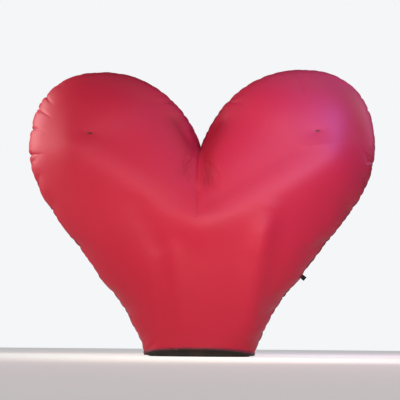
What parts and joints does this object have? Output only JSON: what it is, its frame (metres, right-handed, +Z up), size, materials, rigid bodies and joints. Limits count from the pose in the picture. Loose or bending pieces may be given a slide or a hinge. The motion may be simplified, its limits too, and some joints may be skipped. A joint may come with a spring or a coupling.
{
  "type": "free-standing inflatable heart",
  "caption": "Free-standing heart-shaped inflatable: a sewn fabric envelope on a flat floor panel, held up by a fan in its back.",
  "frame": {"origin": "on the ground at the middle of the base", "axes": "+X to the right of the heart seen from its front, -Y out of the front, +Z up; the perimeter seam lies in the plane y = 0"},
  "size_m": [3.012, 1.1156, 2.4694],
  "materials": {
    "envelope_fabric": "smooth red coated nylon with a soft sheen",
    "floor_fabric": "dark brown-black coated fabric, dull",
    "webbing": "black woven webbing",
    "fan_plastic": "black moulded plastic, fine grain",
    "motor_housing": "dark grey paint",
    "steel_wire": "plated steel wire"
  },
  "bodies": {
    "heart": {"panel_front_left": "envelope_fabric", "panel_front_right": "envelope_fabric", "panel_back_left": "envelope_fabric", "panel_back_right": "envelope_fabric", "seam_tape": "envelope_fabric", "fan_cuff": "envelope_fabric", "tie_patch_front_left": "envelope_fabric", "tie_patch_front_right": "envelope_fabric", "tie_patch_back_left": "envelope_fabric", "tie_patch_back_right": "envelope_fabric", "floor_panel": "floor_fabric", "cuff_strap": "webbing", "tie_loop_left": "webbing", "tie_loop_right": "webbing", "zip_tape": "webbing", "strap_buckle": "fan_plastic", "fan_drum": "fan_plastic", "terminal_box": "fan_plastic", "cord_gland": "fan_plastic", "fan_motor": "motor_housing", "intake_guard": "steel_wire", "zip_slider": "steel_wire", "zip_pull": "steel_wire"},
    "impeller": {"fan_impeller": "fan_plastic"}
  },
  "joints": [
    {"name": "impeller_spin", "type": "hinge", "parent": "heart", "child": "impeller", "pos_m": [0, 0.476, 0.31], "axis": [0, 1, 0], "continuous": true}
  ]
}
